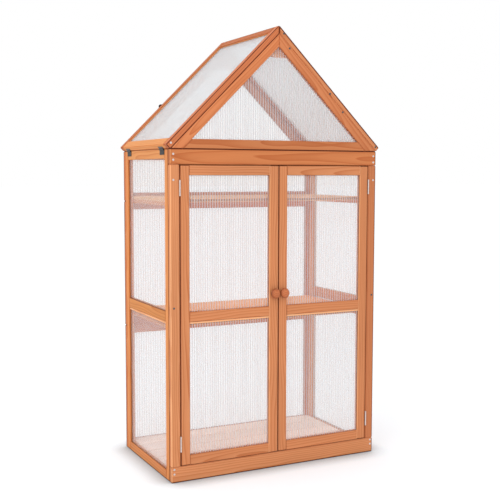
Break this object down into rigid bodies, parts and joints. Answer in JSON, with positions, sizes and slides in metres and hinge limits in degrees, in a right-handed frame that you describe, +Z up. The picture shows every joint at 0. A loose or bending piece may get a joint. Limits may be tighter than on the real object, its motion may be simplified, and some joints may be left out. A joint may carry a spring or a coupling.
{
  "type": "mini greenhouse",
  "caption": "Free-standing wooden mini greenhouse with twin-wall glazing, double doors, inner shelves and a gable roof with one hinged slope.",
  "frame": {"origin": "on the ground under the centre of the cabinet, on the underside of the middle floor bearer", "axes": "+Z up, +Y towards the back wall (the doors face -Y), +X to the right as seen from the front"},
  "size_m": [0.7858, 0.4773, 1.4548],
  "materials": {
    "frame_wood": "satin orange-brown stain",
    "inner_wood": "matte pale stain",
    "knob_wood": "satin varnish",
    "twin_wall_sheet": "translucent twin-wall",
    "bright_steel": "zinc plated",
    "black_steel": "black"
  },
  "bodies": {
    "cabinet": {"front_header_rail": "frame_wood", "front_bottom_rail": "frame_wood", "left_front_post": "frame_wood", "right_front_post": "frame_wood", "left_side_frame": "frame_wood", "left_side_lower_sheet": "twin_wall_sheet", "left_side_upper_sheet": "twin_wall_sheet", "right_side_frame": "frame_wood", "right_side_lower_sheet": "twin_wall_sheet", "right_side_upper_sheet": "twin_wall_sheet", "back_lower_frame": "frame_wood", "back_lower_sheet": "twin_wall_sheet", "back_middle_frame": "frame_wood", "back_middle_sheet": "twin_wall_sheet", "back_upper_frame": "frame_wood", "back_upper_sheet": "twin_wall_sheet", "front_gable_left_rake": "frame_wood", "front_gable_right_rake": "frame_wood", "front_gable_bottom_rail": "frame_wood", "front_gable_sheet": "twin_wall_sheet", "rear_gable_frame": "frame_wood", "rear_gable_sheet": "twin_wall_sheet", "fixed_roof_frame": "frame_wood", "fixed_roof_sheet": "twin_wall_sheet", "middle_shelf": "inner_wood", "upper_shelf": "inner_wood", "slatted_floor": "inner_wood", "hook_pivot_screw": "black_steel", "wall_front_roof_hinge_leaf": "black_steel", "wall_rear_roof_hinge_leaf": "black_steel", "left_post_lower_hinge_leaf": "bright_steel", "left_post_upper_hinge_leaf": "bright_steel", "right_post_lower_hinge_leaf": "bright_steel", "right_post_upper_hinge_leaf": "bright_steel"},
    "roof_lid": {"roof_lid_frame": "frame_wood", "roof_lid_sheet": "twin_wall_sheet", "lid_front_roof_hinge_leaf": "black_steel", "lid_rear_roof_hinge_leaf": "black_steel", "lid_catch_stud": "black_steel"},
    "lid_hook": {"lid_hook": "black_steel"},
    "left_door": {"left_door_hinge_stile": "frame_wood", "left_door_meeting_stile": "frame_wood", "left_door_bottom_rail": "frame_wood", "left_door_middle_rail": "frame_wood", "left_door_top_rail": "frame_wood", "left_door_lower_sheet": "twin_wall_sheet", "left_door_upper_sheet": "twin_wall_sheet", "left_door_knob": "knob_wood", "left_door_lower_hinge_leaf": "bright_steel", "left_door_upper_hinge_leaf": "bright_steel"},
    "right_door": {"right_door_hinge_stile": "frame_wood", "right_door_meeting_stile": "frame_wood", "right_door_bottom_rail": "frame_wood", "right_door_middle_rail": "frame_wood", "right_door_top_rail": "frame_wood", "right_door_lower_sheet": "twin_wall_sheet", "right_door_upper_sheet": "twin_wall_sheet", "right_door_knob": "knob_wood", "right_door_lower_hinge_leaf": "bright_steel", "right_door_upper_hinge_leaf": "bright_steel"}
  },
  "joints": [
    {"name": "left_door_hinge", "type": "hinge", "parent": "cabinet", "child": "left_door", "pos_m": [-0.349, -0.2227, 0.5285], "axis": [0, 0, -1], "range_deg": [0, 170]},
    {"name": "right_door_hinge", "type": "hinge", "parent": "cabinet", "child": "right_door", "pos_m": [0.349, -0.2227, 0.5285], "axis": [0, 0, 1], "range_deg": [0, 170]},
    {"name": "roof_lid_hinge", "type": "hinge", "parent": "cabinet", "child": "roof_lid", "pos_m": [-0.3825, 0, 1.05397], "axis": [0, -1, 0], "range_deg": [0, 120]},
    {"name": "lid_hook_pivot", "type": "hinge", "parent": "cabinet", "child": "lid_hook", "pos_m": [-0.21572, 0.224, 1.19604], "axis": [0, 1, 0], "range_deg": [0, 129.4]}
  ]
}
